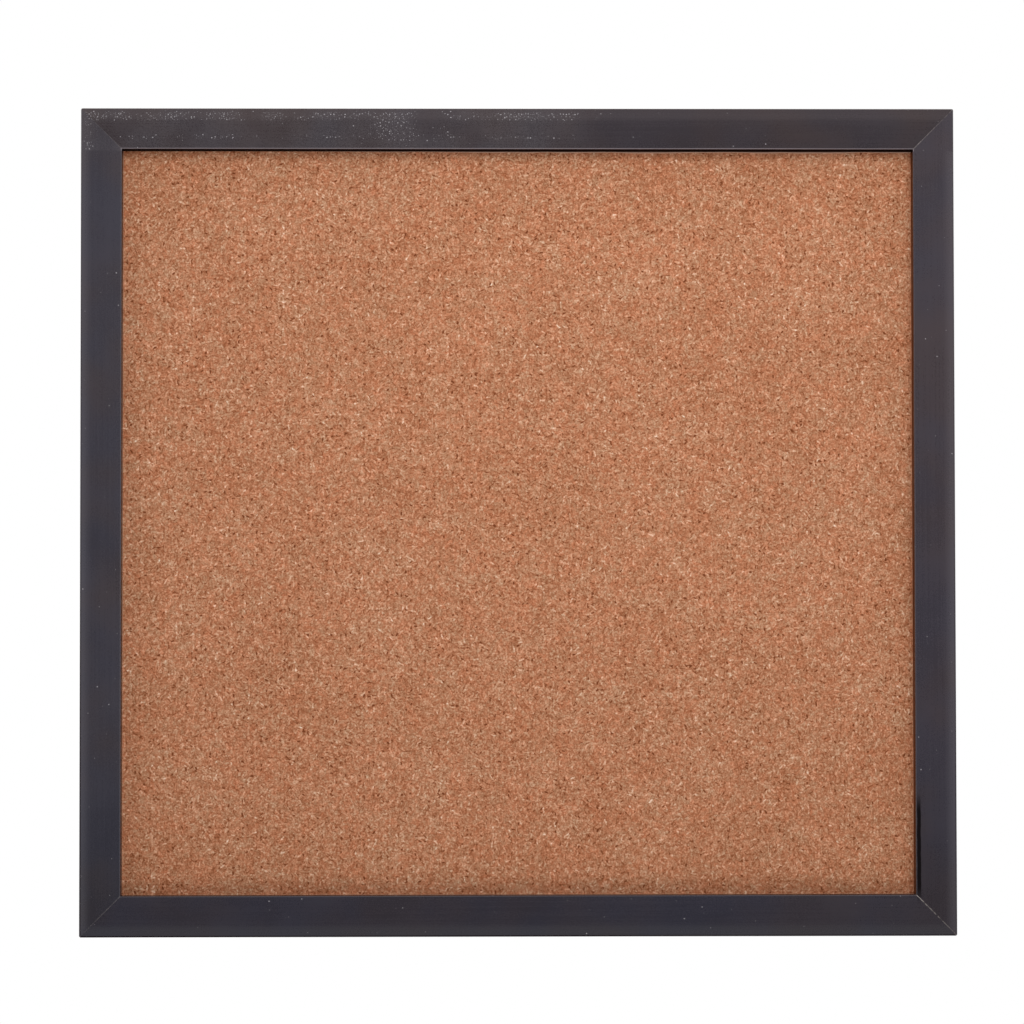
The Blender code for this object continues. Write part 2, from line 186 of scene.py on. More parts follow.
class Nodes:
    """The nodes of a material or a world. Each call adds a node and gives its socket."""

    def __init__(self, owner):
        owner.use_nodes = True
        self.owner = owner
        self.tree = owner.node_tree

    def feed(self, socket, value):
        if isinstance(value, bpy.types.NodeSocket):
            self.tree.links.new(value, socket)
        else:
            socket.default_value = value

    def add(self, kind, output, inputs, **settings):
        node = self.tree.nodes.new("ShaderNode" + kind)
        for key, value in settings.items():
            setattr(node, key, value)
        for key, value in inputs.items():
            self.feed(node.inputs[key], value)
        return node.outputs[output]

    def maths(self, operation, a, b=0.0, c=0.0):
        return self.add("Math", 0, {0: a, 1: b, 2: c}, operation=operation)

    def total(self, *terms):
        """The sum of (socket, factor) pairs."""
        result = None
        for socket, factor in terms:
            if result is None:
                result = self.maths("MULTIPLY", socket, factor)
            else:
                result = self.maths("MULTIPLY_ADD", socket, factor, result)
        return result

    def product(self, first, *others):
        for other in others:
            first = self.maths("MULTIPLY", first, other)
        return first

    def span(self, value, low, high, to_low=0.0, to_high=1.0, kind="SMOOTHSTEP"):
        """value from low..high to to_low..to_high, held at both ends."""
        sizes = {"Value": value, "From Min": low, "From Max": high,
                 "To Min": to_low, "To Max": to_high}
        return self.add("MapRange", 0, sizes, interpolation_type=kind)

    def band(self, value, start, end, soft):
        """1 between start and end, with soft shoulders outside them."""
        rise = self.span(value, start - soft, start)
        fall = self.span(value, end, end + soft, 1.0, 0.0)
        return self.maths("MULTIPLY", rise, fall)

    def place(self):
        """The piece's own coordinates, in millimetres."""
        point = self.add("TexCoord", "Object", {})
        return self.add("VectorMath", 0, {0: point, "Scale": 1000.0}, operation="SCALE")

    def attribute(self, name, output="Vector"):
        return self.add("Attribute", output, {}, attribute_name=name)

    def axes(self, vector):
        node = self.tree.nodes.new("ShaderNodeSeparateXYZ")
        self.feed(node.inputs[0], vector)
        return node.outputs

    def join(self, x=0.0, y=0.0, z=0.0):
        return self.add("CombineXYZ", 0, {0: x, 1: y, 2: z})

    def stretch(self, vector, factors):
        return self.add("VectorMath", 0, {0: vector, 1: factors}, operation="MULTIPLY")

    def shift(self, vector, offset):
        return self.add("VectorMath", 0, {0: vector, 1: offset}, operation="ADD")

    def noise(self, vector, size, detail=2.0, rough=0.5, output="Fac"):
        """Noise around 0.5 with features of that size in millimetres."""
        inputs = {"Vector": vector, "Scale": 1 / size, "Detail": detail, "Roughness": rough}
        return self.add("TexNoise", output, inputs)

    def cells(self, vector, size, feature="F1"):
        """Scattered cells of that size, in the XY plane of vector: every output, by name."""
        node = self.add("TexVoronoi", 0, {"Vector": vector, "Scale": 1 / size},
                        voronoi_dimensions="2D", feature=feature).node
        return node.outputs

    def turned(self, vector, angle):
        return self.add("VectorRotate", 0, {"Vector": vector, "Angle": angle},
                        rotation_type="Z_AXIS")

    def mix(self, factor, a, b, blend="MIX"):
        node = self.tree.nodes.new("ShaderNodeMix")
        node.data_type = "RGBA"
        node.blend_type = blend
        self.feed(node.inputs[0], factor)
        for socket, value in ((node.inputs[6], a), (node.inputs[7], b)):
            self.feed(socket, (*value, 1) if isinstance(value, tuple) else value)
        return node.outputs[2]

    def ramp(self, factor, *stops):
        node = self.tree.nodes.new("ShaderNodeValToRGB")
        elements = node.color_ramp.elements
        while len(elements) < len(stops):
            elements.new(1.0)
        for element, (position, colour) in zip(elements, stops):
            element.position = position
            element.color = (*colour, 1)
        self.feed(node.inputs[0], factor)
        return node.outputs[0]

    def bump(self, height, millimetres, normal=None):
        inputs = {"Height": height, "Distance": millimetres * MM, "Strength": 1.0}
        if normal is not None:
            inputs["Normal"] = normal
        return self.add("Bump", 0, inputs)

    def finish(self, **inputs):
        """Sets the material's shader, by its sockets' names in lower case."""
        shader = self.tree.nodes["Principled BSDF"]
        for key, value in inputs.items():
            name = key.replace("_", " ").title().replace("Ior", "IOR")
            self.feed(shader.inputs[name], value)
        return self.owner


# ---------------------------------------------------------------- materials

def top_rail_mask(n, z):
    """1 on the top rail, 0 below its inner edge."""
    return n.span(z, OPENING_TOP / MM - 1.0, OPENING_TOP / MM - 0.5)


def film_dust(n, place, rail, on_top, grain):
    """Dust on the film: a haze, and specks that crowd along both edges of the top rail."""
    along, inset, depth = n.axes(rail)
    x, _, _ = n.axes(place)
    facing = n.span(depth, FRONT / MM + 0.9, FRONT / MM + 1.0, 1.0, 0.0)
    left_half = n.span(x, CENTRE.x / MM + 5.0, CENTRE.x / MM + 40.0, 1.0, 0.0)
    outer_band = n.band(inset, 2.0, 4.2, 1.0)
    inner_band = n.product(n.band(inset, 11.2, 12.2, 0.6), 0.42)
    across = n.band(x, CENTRE.x / MM - 56.0, CENTRE.x / MM - 32.0, 9.0)
    whole_face = n.product(across, n.band(inset, 2.5, 12.5, 1.5), 0.5)
    bands = n.maths("MAXIMUM", n.maths("MAXIMUM", outer_band, inner_band), whole_face)
    patches = n.span(n.noise(n.shift(place, (7, 0, 0)), 14.0, detail=1.0), 0.22, 0.62)
    haze = n.product(on_top, left_half, n.maths("MULTIPLY_ADD", patches, 0.6, 0.4),
                     n.span(grain, 0.3, 0.7, 0.3, 1.0), facing)
    chance = n.product(on_top, left_half, bands, patches)
    chance = n.product(n.maths("MULTIPLY_ADD", chance, 0.60, 0.003), facing)
    layers = []
    for size, offset in ((0.7, 0.0), (1.2, 31.0)):
        motes = n.cells(n.shift(n.join(along, inset, 0.0), (offset, offset, 0)), size)
        pick, amount, _ = n.axes(motes["Color"])
        radius = n.span(amount, 0.0, 1.0, 0.15, 0.25, "LINEAR")
        dot = n.span(motes["Distance"], n.maths("MULTIPLY", radius, 0.55), radius, 1.0, 0.0)
        layers.append(n.product(dot, n.maths("LESS_THAN", pick, chance), amount))
    return haze, n.maths("MAXIMUM", *layers)


def film_edges(n, rail, x, z, on_top):
    """Masks for the painted highlight on the top rail's inner arris, the painted shade on the wall
    behind it and the painted shade on the outer arris.
    """
    _, inset, depth = n.axes(rail)
    width, front = RAIL_WIDTH / MM, FRONT / MM
    painted_arris_highlight = n.product(n.band(inset, width - 0.40, width - 0.12, 0.08), on_top,
                      n.span(depth, front + 0.4, front + 0.6, 1.0, 0.0))
    painted_wall_shade = n.product(n.span(depth, front + 0.45, front + 0.8), n.span(inset, width - 0.2, width))
    painted_outer_arris_shade = n.product(n.span(inset, 0.35, 0.8, 1.0, 0.0),
                          n.span(depth, front + 1.4, front + 2.4, 1.0, 0.0),
                          n.span(z, BOTTOM / MM, TOP / MM, 0.95, 0.25, "LINEAR"),
                          n.span(x, LEFT / MM + 150.0, RIGHT / MM, 1.0, 0.75))
    return painted_arris_highlight, painted_wall_shade, painted_outer_arris_shade


def film_material():
    """Charcoal film: satin, faintly streaked along the rail, with dust along the top."""
    n = Nodes(bpy.data.materials.new("film_wrap"))
    place, rail = n.place(), n.attribute("rail")
    x, _, z = n.axes(place)
    _, inset, depth = n.axes(rail)

    cloud = n.noise(place, 26.0, detail=3.0)
    streak = n.noise(n.stretch(rail, (0.02, 1.4, 1.4)), 1.0, detail=3.0)
    grain = n.noise(place, 0.35, detail=2.0)
    tone = n.maths("ADD", n.total((cloud, 0.30), (streak, 0.09), (grain, 0.30)), 0.65)
    warmth = n.span(n.noise(n.shift(place, (40, 0, 15)), 34.0), 0.35, 0.7)
    colour = n.mix(warmth, (0.0245, 0.0215, 0.0300), (0.0290, 0.0215, 0.0250))
    colour = n.mix(1.0, colour, n.join(tone, tone, tone), "MULTIPLY")
    # Each side's painted light and shade, from its own attribute
    colour = n.mix(1.0, colour, n.attribute("side_lighting"), "MULTIPLY")
    # Darker and cooler towards the frame's bottom, over its lowest 80 mm
    low = n.span(z, BOTTOM / MM + 10.0, BOTTOM / MM + 80.0, 1.0, 0.0)
    colour = n.mix(low, colour, (0.64, 0.66, 0.72), "MULTIPLY")

    # Painted highlight on the top rail's inner arris; painted shade on the inner wall, darkest on
    # the top rail, and on the outer arris, most towards the bottom and left
    on_top = top_rail_mask(n, z)
    painted_arris_highlight, painted_wall_shade, painted_outer_arris_shade = film_edges(n, rail, x, z, on_top)
    colour = n.mix(n.product(painted_arris_highlight, n.span(streak, 0.3, 0.7, 0.75, 1.0)), colour,
                   (0.150, 0.128, 0.142))
    colour = n.mix(painted_wall_shade, colour, n.mix(on_top, (0.011, 0.007, 0.008), (0.007, 0.004, 0.004)))
    colour = n.mix(painted_outer_arris_shade, colour, (0.007, 0.002, 0.003))

    haze, specks = film_dust(n, place, rail, on_top, grain)
    colour = n.mix(n.maths("MULTIPLY", haze, 0.22), colour, (0.13, 0.12, 0.13))
    colour = n.mix(n.maths("MULTIPLY", specks, 0.80), colour, (0.42, 0.40, 0.42))

    # A painted dark reflection: a blacker, duller streak beside the lip, low on the right stile
    wavering = n.maths("ADD", x, n.product(n.noise(place, 6.0), 0.6))
    painted_dark_reflection = n.product(
        n.band(z, BOTTOM / MM + 20.6, BOTTOM / MM + 50.6, 9.0),
        n.band(wavering, OPENING_RIGHT / MM + 0.9, OPENING_RIGHT / MM + 2.1, 0.35))
    colour = n.mix(n.maths("MULTIPLY", painted_dark_reflection, 0.9), colour, (0.005, 0.004, 0.004))

    # The film's pale backing where it has lifted along a mitre
    ragged = n.span(n.noise(n.shift(place, (3, 0, 9)), 0.8, detail=3.0), 0.30, 0.62)
    pale = n.product(n.attribute("cut", "Fac"), ragged)
    colour = n.mix(pale, colour, (0.62, 0.56, 0.52))

    rough = n.total((cloud, 0.10), (streak, 0.06), (grain, 0.10), (specks, 0.4), (pale, 0.4))
    rough = n.maths("ADD", rough, 0.15)
    dull = n.maths("MAXIMUM", painted_dark_reflection, n.product(painted_wall_shade, n.span(on_top, 0.0, 1.0, 0.85, 1.0)))
    crest = n.product(on_top, n.span(inset, 1.0, 5.0, 0.35, 0.0))
    side = n.span(depth, FRONT / MM + 2.0, FRONT / MM + 4.0, 0.0, 0.45)
    dull = n.maths("MAXIMUM", n.maths("MAXIMUM", dull, painted_outer_arris_shade), n.maths("MAXIMUM", crest, side))
    relief = n.total((grain, 0.012), (streak, 0.002), (specks, 0.05))
    return n.finish(base_color=colour, roughness=rough, normal=n.bump(relief, 1.0),
                    specular_ior_level=n.span(dull, 0.0, 1.0, 0.5, 0.0, "LINEAR"))


def core_material():
    """Raw MDF under the film: pressed brown fibre, matt, with painted shade on the lip's edge, near
    black on the top rail.
    """
    n = Nodes(bpy.data.materials.new("moulding_core"))
    place = n.place()
    _, depth, z = n.axes(place)
    cloud = n.noise(place, 9.0, detail=4.0)
    fibre = n.noise(n.stretch(place, (1.3, 2.2, 1.3)), 1.0, detail=5.0, rough=0.7)
    fleck = n.noise(n.shift(place, (6, 0, 2)), 0.25, detail=2.0)
    tone = n.total((cloud, 0.5), (fibre, 0.9), (fleck, 0.5))
    tone = n.span(tone, 0.62, 1.28, kind="LINEAR")
    colour = n.ramp(tone, (0.0, (0.135, 0.062, 0.030)), (0.5, (0.245, 0.135, 0.070)),
                    (1.0, (0.40, 0.26, 0.155)))
    # Painted shade on the raw lip's edge, near black on the top rail, which faces down
    lip = n.span(depth, LIP_BACK / MM - 0.4, LIP_BACK / MM - 0.3, 1.0, 0.0)
    lip_shade = n.mix(top_rail_mask(n, z), (0.110, 0.031, 0.010), (0.012, 0.004, 0.002))
    colour = n.mix(lip, colour, lip_shade)
    colour = n.mix(n.attribute("cut", "Fac"), colour, (0.55, 0.34, 0.25))
    relief = n.total((fibre, 0.05), (fleck, 0.03))
    return n.finish(base_color=colour, roughness=n.span(fibre, 0.2, 0.8, 0.82, 0.95),
                    normal=n.bump(relief, 1.0), specular_ior_level=0.08)


def flakes(n, plane, size, length, width, share, softness=0.45):
    """Slender flakes of cork, one to a cell, each lying its own way. Gives mask and tone."""
    cells = n.cells(plane, size)
    pick, turn, tone = n.axes(cells["Color"])
    offset = n.add("VectorMath", 0, {0: plane, 1: cells["Position"]}, operation="SUBTRACT")
    offset = n.turned(offset, n.maths("MULTIPLY", turn, 2 * math.pi))
    offset = n.stretch(offset, (2 / length, 2 / width, 0))
    reach = n.add("VectorMath", "Value", {0: offset}, operation="LENGTH")
    shape = n.span(reach, 1 - softness, 1.0, 1.0, 0.0)
    return n.maths("MULTIPLY", shape, n.maths("LESS_THAN", pick, share)), tone


def granules(n, plane, size, patch, slender):
    """Packed granules whose grain lies one way within a patch and another in the next.

    Gives each granule's tone and hue, and the distance to its edge."""
    turn = n.axes(n.cells(plane, patch)["Color"])[1]
    turned = n.turned(plane, n.maths("MULTIPLY", turn, math.pi))
    turned = n.stretch(turned, (1 / slender, slender, 0))
    tone, hue, _ = n.axes(n.cells(turned, size)["Color"])
    return tone, hue, n.cells(turned, size, "DISTANCE_TO_EDGE")["Distance"]


def cork_material():
    """Fine agglomerated cork: packed granules, pale slender flakes and dark bark specks."""
    n = Nodes(bpy.data.materials.new("cork"))
    place = n.place()
    x, _, z = n.axes(place)
    flat = n.join(x, z, 0.0)
    drift = n.noise(place, 1.6, detail=2.0, output="Color")
    drift = n.stretch(n.shift(drift, (-0.5, -0.5, -0.5)), (0.9, 0.9, 0.0))
    plane = n.shift(flat, drift)

    coarse, coarse_hue, coarse_edge = granules(n, plane, 1.9, 4.1, 1.25)
    fine, fine_hue, fine_edge = granules(n, n.shift(plane, (53, 17, 0)), 0.95, 2.6, 1.35)
    grain = n.noise(place, 0.75, detail=2.0, rough=0.6)
    blotch = n.noise(place, 5.5, detail=2.0)
    cloud = n.noise(place, 38.0, detail=2.0)

    pale, pale_tone = flakes(n, n.shift(plane, (11, 29, 0)), 2.3, 3.1, 0.75, 0.42, 0.4)
    chip, chip_tone = flakes(n, n.shift(plane, (71, 5, 0)), 1.4, 1.5, 0.8, 0.40, 0.4)
    bark, bark_tone = flakes(n, n.shift(plane, (23, 83, 0)), 1.9, 1.7, 0.85, 0.18, 0.5)
    crack, _ = flakes(n, n.shift(plane, (37, 61, 0)), 2.4, 2.8, 0.45, 0.28, 0.5)
    knot, _ = flakes(n, n.shift(plane, (3, 47, 0)), 5.2, 2.3, 1.5, 0.25, 0.3)

    tone = n.total((coarse, 0.10), (fine, 0.24), (grain, 0.87), (blotch, 0.05), (cloud, 0.10),
                   (n.product(pale, pale_tone), 0.28), (n.product(chip, chip_tone), 0.21),
                   (n.product(bark, bark_tone), -0.54), (crack, -0.26), (knot, 0.11),
                   (n.span(coarse_edge, 0.0, 0.09, 1.0, 0.0), -0.08),
                   (n.span(fine_edge, 0.0, 0.12, 1.0, 0.0), -0.07))
    tone = n.maths("SUBTRACT", tone, 0.229)
    colour = n.ramp(tone, (0.0, (0.150, 0.041, 0.014)), (0.25, (0.268, 0.092, 0.039)),
                    (0.5, (0.430, 0.191, 0.100)), (0.75, (0.600, 0.331, 0.204)),
                    (1.0, (0.800, 0.560, 0.420)))
    patch = n.span(n.noise(n.shift(place, (0, 0, 90)), 6.5, detail=2.0), 0.36, 0.64)
    hue = n.total((coarse_hue, 0.35), (fine_hue, 0.40), (patch, 0.25))
    tint = n.mix(hue, (1.04, 0.85, 0.79), (0.95, 1.15, 1.26))
    colour = n.mix(n.span(tone, 0.15, 0.4), colour, tint, "MULTIPLY")

    # Painted shade: the cork is darkened a little beside the frame's walls, most along the bottom
    painted_edge_shade = n.total(
        (n.span(z, OPENING_BOTTOM / MM, OPENING_BOTTOM / MM + 9.0, 1.0, 0.0), 0.20),
        (n.span(z, OPENING_TOP / MM - 4.0, OPENING_TOP / MM), 0.10),
        (n.span(x, OPENING_RIGHT / MM - 3.5, OPENING_RIGHT / MM), 0.10))
    colour = n.mix(painted_edge_shade, colour, (0.0, 0.0, 0.0))

    relief = n.total((coarse, 0.05), (grain, 0.11))
    rough = n.maths("MULTIPLY_ADD", grain, 0.15, 0.80)
    return n.finish(base_color=colour, roughness=rough, normal=n.bump(relief, 1.0),
                    specular_ior_level=0.12)


def hardboard_material():
    """Hardboard, smooth side out: dark pressed fibre under a faint skin."""
    n = Nodes(bpy.data.materials.new("hardboard"))
    place = n.place()
    cloud = n.noise(place, 45.0, detail=4.0)
    felt = n.noise(place, 3.2, detail=5.0, rough=0.68)
    fleck = n.noise(n.shift(place, (9, 0, 4)), 0.6, detail=2.0)
    x, _, z = n.axes(place)
    fibre, fibre_tone = flakes(n, n.join(x, z, 0.0), 2.4, 3.4, 0.22, 0.6, 0.7)
    tone = n.total((cloud, 0.5), (felt, 0.8), (fleck, 0.35), (n.product(fibre, fibre_tone), 0.3))
    colour = n.ramp(n.span(tone, 0.55, 1.25, kind="LINEAR"),
                    (0.0, (0.088, 0.042, 0.022)), (0.5, (0.150, 0.080, 0.044)),
                    (1.0, (0.235, 0.140, 0.082)))
    relief = n.total((felt, 0.03), (fleck, 0.02), (fibre, 0.01))
    return n.finish(base_color=colour, roughness=n.span(felt, 0.25, 0.75, 0.46, 0.66),
                    normal=n.bump(relief, 1.0))


def fibreboard_material():
    """Soft grey-brown fibreboard."""
    n = Nodes(bpy.data.materials.new("fibreboard"))
    place = n.place()
    felt = n.noise(n.stretch(place, (0.6, 2.0, 0.6)), 1.3, detail=5.0, rough=0.7)
    cloud = n.noise(place, 30.0, detail=2.0)
    tone = n.total((felt, 0.9), (cloud, 0.3))
    colour = n.ramp(n.span(tone, 0.35, 0.85, kind="LINEAR"),
                    (0.0, (0.22, 0.155, 0.10)), (1.0, (0.46, 0.36, 0.25)))
    return n.finish(base_color=colour, roughness=n.span(felt, 0.2, 0.8, 0.85, 0.97),
                    normal=n.bump(felt, 0.15))


def steel_material(name, colour, roughness, grain):
    """Stamped or drawn steel: grain is the stretch of its scratches along X, Y and Z."""
    n = Nodes(bpy.data.materials.new(name))
    place = n.place()
    scratch = n.noise(n.stretch(place, grain), 0.5, detail=4.0, rough=0.7)
    bloom = n.noise(place, 2.2, detail=3.0)
    tone = n.maths("ADD", n.total((scratch, 0.25), (bloom, 0.25)), 0.75)
    shade = n.mix(1.0, colour, n.join(tone, tone, tone), "MULTIPLY")
    spot = n.span(n.noise(n.shift(place, (5, 2, 8)), 0.9, detail=3.0), 0.62, 0.72)
    shade = n.mix(n.maths("MULTIPLY", spot, 0.35), shade, (0.30, 0.27, 0.24))
    rough = n.maths("ADD", n.total((scratch, 0.16), (bloom, 0.12), (spot, 0.2)),
                    roughness - 0.14)
    return n.finish(base_color=shade, metallic=1.0, roughness=rough,
                    normal=n.bump(scratch, 0.012))


# ---------------------------------------------------------------- mesh helpers

def arc(centre, radius, start, end, steps):
    """Points round centre from the start angle to the end angle, both included."""
    angles = (start + (end - start) * i / steps for i in range(steps + 1))
    return [(centre[0] + radius * math.cos(a), centre[1] + radius * math.sin(a))
            for a in angles]


def finished_mesh(name, solid):
    """A mesh from a bmesh, which is freed."""
    mesh = bpy.data.meshes.new(name)
    solid.to_mesh(mesh)
    solid.free()
    return mesh


def loft(solid, rings):
    """Skins rings of as many points each, caps both ends, and gives the skin's faces."""
    count = len(rings[0])
    skin = []
    for one, two in zip(rings, rings[1:]):
        for k in range(count):
            j = (k + 1) % count
            skin.append(solid.faces.new((one[k], one[j], two[j], two[k])))
    solid.faces.new(reversed(rings[0]))
    solid.faces.new(rings[-1])
    bmesh.ops.recalc_face_normals(solid, faces=solid.faces)
    return skin


def shade_round(mesh, degrees):
    mesh.shade_smooth()
    mesh.set_sharp_from_angle(angle=math.radians(degrees))
    return mesh


def add_piece(name, mesh, body, slot, materials, *nodes):
    """A piece that stands for CAD nodes and moves with a body."""
    piece = bpy.data.objects.new(name, mesh)
    bpy.context.scene.collection.objects.link(piece)
    if not mesh.materials:
        for material in materials:
            mesh.materials.append(material)
    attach(piece, body)
    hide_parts(*nodes)
    return piece


def baked(obj):
    """obj's mesh with its modifiers applied; obj and its own mesh are left as they are."""
    depsgraph = bpy.context.evaluated_depsgraph_get()
    return bpy.data.meshes.new_from_object(obj.evaluated_get(depsgraph),
                                           preserve_all_data_layers=True,
                                           depsgraph=depsgraph)


def add_bevel(obj, width):
    bevel = obj.modifiers.new("worn_edges", "BEVEL")
    bevel.width = width
    bevel.segments = 2
    bevel.limit_method = "ANGLE"
    bevel.angle_limit = math.radians(35)


def cut_away(mesh, cutters):
    """mesh less the cutter meshes, as a new mesh."""
    scene = bpy.context.scene.collection
    group = bpy.data.collections.new("cutters")
    scene.children.link(group)
    blank = bpy.data.objects.new("blank", mesh)
    scene.objects.link(blank)
    for cutter in cutters:
        group.objects.link(bpy.data.objects.new("cutter", cutter))
    cut = blank.modifiers.new("cut", "BOOLEAN")
    cut.operation = "DIFFERENCE"
    cut.solver = "EXACT"
    cut.operand_type = "COLLECTION"
    cut.collection = group
    bpy.context.view_layer.update()
    result = baked(blank)
    for obj in (blank, *group.objects):
        bpy.data.objects.remove(obj, do_unlink=True)
    bpy.data.collections.remove(group)
    return result


def swollen(node, amount):
    """A CAD node's mesh grown outwards, to cut its slot."""
    mesh = frame["nodes"][node].data.copy()
    shell = bmesh.new()
    shell.from_mesh(mesh)
    bmesh.ops.remove_doubles(shell, verts=shell.verts, dist=1e-6)
    bmesh.ops.recalc_face_normals(shell, faces=shell.faces)
    shell.normal_update()
    moves = [(vert, vert.normal * amount * math.sqrt(3)) for vert in shell.verts]
    for vert, move in moves:
        vert.co += move
    shell.to_mesh(mesh)
    shell.free()
    mesh.materials.clear()
    return mesh


def turned_cylinder(name, radius, low, high):
    """A closed cylinder along Y."""
    solid = bmesh.new()
    bmesh.ops.create_cone(solid, cap_ends=True, segments=40, radius1=radius,
                          radius2=radius, depth=high - low)
    mesh = finished_mesh(name, solid)
    mesh.transform(Matrix.Rotation(-math.pi / 2, 4, "X"))
    mesh.transform(Matrix.Translation((0, (low + high) / 2, 0)))
    return mesh


# ---------------------------------------------------------------- the frame

def moulding_section(raw_lip):
    """The section as (depth, inset, is_film): is_film tells of the stretch after a point.

    Depth is the place along Y, inset runs in from the outer edge. The film starts on the
    back, goes round the outer side and the face, and ends short of the lip's back edge.
    """
    crown_radius = (CROWN_WIDTH**2 + CROWN_DROP**2) / (2 * CROWN_DROP)
    crown_centre = (FRONT + crown_radius, CROWN_WIDTH)
    between = crown_radius - OUTER_ARRIS
    contact = math.asin((CROWN_WIDTH - OUTER_ARRIS) / between)
    arris_centre = (crown_centre[0] - between * math.cos(contact), OUTER_ARRIS)
    contact += math.pi

    film = [(BACK, FILM_RETURN)]
    film += arc((BACK - BACK_ARRIS, BACK_ARRIS), BACK_ARRIS, 0, -math.pi / 2, 4)
    film += arc(arris_centre, OUTER_ARRIS, 1.5 * math.pi, contact, 10)
    film += arc(crown_centre, crown_radius, contact, math.pi, 12)[1:]
    film += arc((FRONT + INNER_ARRIS, RAIL_WIDTH - INNER_ARRIS), INNER_ARRIS,
                math.pi, math.pi / 2, 8)
    film += [(LIP_BACK - raw_lip, RAIL_WIDTH)]
    raw = [(LIP_BACK - LEDGE_DEPTH - FILM, RAIL_WIDTH), (LIP_BACK - LEDGE_DEPTH, RAIL_WIDTH),
           (LIP_BACK, RAIL_WIDTH), (LIP_BACK, RABBET_WALL), (BACK - FILM, RABBET_WALL),
           (BACK - FILM, FILM_RETURN)]
    last = len(film) - 1
    return [(*point, i < last) for i, point in enumerate(film)] + [(*p, False) for p in raw]


def section_inward(section):
    """The inward direction at each point of the section, as (depth, inset)."""
    directions = []
    count = len(section)
    for i in range(count):
        before, after = section[i - 1], section[(i + 1) % count]
        run = Vector((after[0] - before[0], after[1] - before[1])).normalized()
        directions.append(Vector((run.y, -run.x)))
    return directions


def ledge_at(name, x):
    """How far the raw lip stands out at a place along a side; the top's left end has none."""
    wander = 0.9 + 0.6 * noise.noise((x / (9 * MM), LEDGE[name] / MM, 0))
    start = (x - LEFT) / WIDTH if name == "top_rail" else 1
    return LEDGE[name] * wander * min(1, max(0, (start - 0.22) / 0.3))


def rail_stations(name, length):
    """Stations along a side: which end they belong to, the way back from it, and its wear.

    Between the ends the first is 0 and the second is the way along the opening.
    """
    near_mitre = [step * CORNER_RADIUS for step in (0, 0.12, 0.3, 0.5, 0.75, 1.0)]
    opening = length - 2 * RAIL_WIDTH
    start_wear, end_wear = (MITRE_WEAR[corner] for corner in SIDE_CORNERS[name])
    stations = [(-1, back, start_wear) for back in near_mitre]
    stations += [(0, opening * (i / LENGTH_STEPS), 0) for i in range(1, LENGTH_STEPS)]
    return stations + [(1, back, end_wear) for back in reversed(near_mitre)]


def on_ledge(depth, inset):
    """Whether a point of the section is on the raw ledge that stands out over the opening."""
    return depth in (LIP_BACK, LIP_BACK - LEDGE_DEPTH) and inset == RAIL_WIDTH


def rail_point(name, length, station, depth, inset, inner):
    """A section's point at a station, as (x, depth, inset), with the frame's corner rounded."""
    end, back, worn = station
    if end:
        blunt = CORNER_RADIUS * (1 - math.sqrt(0.5))
        from_tip = max(inset, blunt) + MITRE_GAP * (0.3 + worn) + back
        x = end * (length / 2 - from_tip)
    else:
        share = back / (length - 2 * RAIL_WIDTH)
        reach = length / 2 - inset - CORNER_RADIUS
        from_tip = RAIL_WIDTH
        x = reach * (2 * share - 1)
    if on_ledge(depth, inset):
        inset += ledge_at(name, x)
    rounding = CORNER_RADIUS - from_tip
    if rounding > 0:
        inset = max(inset, CORNER_RADIUS - math.sqrt(CORNER_RADIUS**2 - rounding**2))
    if end and back == 0:
        depth += inner.x * MITRE_CHAMFER * (0.3 + worn)
        inset += inner.y * MITRE_CHAMFER * (0.3 + worn)
    return x, depth, inset


def rail_mesh(name, length, outer_edge):
    """One side of the frame along X, its outer edge at Z = outer_edge, mitred at both ends.

    A few rings of points near each mitre round the frame's corner and break the film's edge.
    """
    section = moulding_section(RAW_LIP[name])
    inward = section_inward(section)
    solid = bmesh.new()
    rings, cut_values, rail_values = [], [], []
    for station in rail_stations(name, length):
        _, back, worn = station
        ring = []
        for (depth, inset, _), inner in zip(section, inward):
            is_raw = on_ledge(depth, inset)
            x, depth, inset = rail_point(name, length, station, depth, inset, inner)
            ring.append(solid.verts.new((x, depth, outer_edge - inset)))
            on_face = depth < FRONT + 1.5 * MM
            lifted = worn * max(0.0, 1 - back / (0.3 * CORNER_RADIUS)) * on_face
            lifted *= 0.35 + 0.65 * (inset / RAIL_WIDTH) ** 2
            cut_values.append(1.0 if is_raw else lifted)
            rail_values += [x / MM, inset / MM, depth / MM]
        rings.append(ring)
    skin = loft(solid, rings)
    for i, face in enumerate(skin):
        face.material_index = int(section[i % len(section)][2])
    mesh = finished_mesh(name, solid)
    mesh.attributes.new("rail", "FLOAT_VECTOR", "POINT").data.foreach_set("vector", rail_values)
    mesh.attributes.new("cut", "FLOAT", "POINT").data.foreach_set("value", cut_values)
    # Each side's painted light and shade, kept on its points
    side_lighting = FILM_SIDE_LIGHTING[name] * len(cut_values)
    mesh.attributes.new("side_lighting", "FLOAT_VECTOR", "POINT").data.foreach_set("vector", side_lighting)
    return mesh


def slot_cutters(name):
    """The cutters for the slots and pilot holes of the fasteners in one side."""
    low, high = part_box(name)
    cutters = []
    for node in frame["nodes"]:
        if node.startswith(("v_nail", "framer_point")):
            node_low, node_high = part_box(node)
            if all(node_high[i] >= low[i] and node_low[i] <= high[i] for i in (0, 2)):
                cutters.append(swollen(node, SLOT_GAP))
    for side in ("left", "right"):
        if name == f"{side}_stile":
            pivot = PIVOTS[f"{side}_ring"]
            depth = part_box(f"{side}_hanger_screw")[0].y
            pilot = turned_cylinder("pilot", SHANK_RADIUS + LEAF_GAP, depth - 0.3 * MM,
                                    BACK + 5 * MM)
            pilot.transform(Matrix.Translation((pivot.x, 0, pivot.z - SCREW_DROP)))
            cutters.append(pilot)
    return cutters


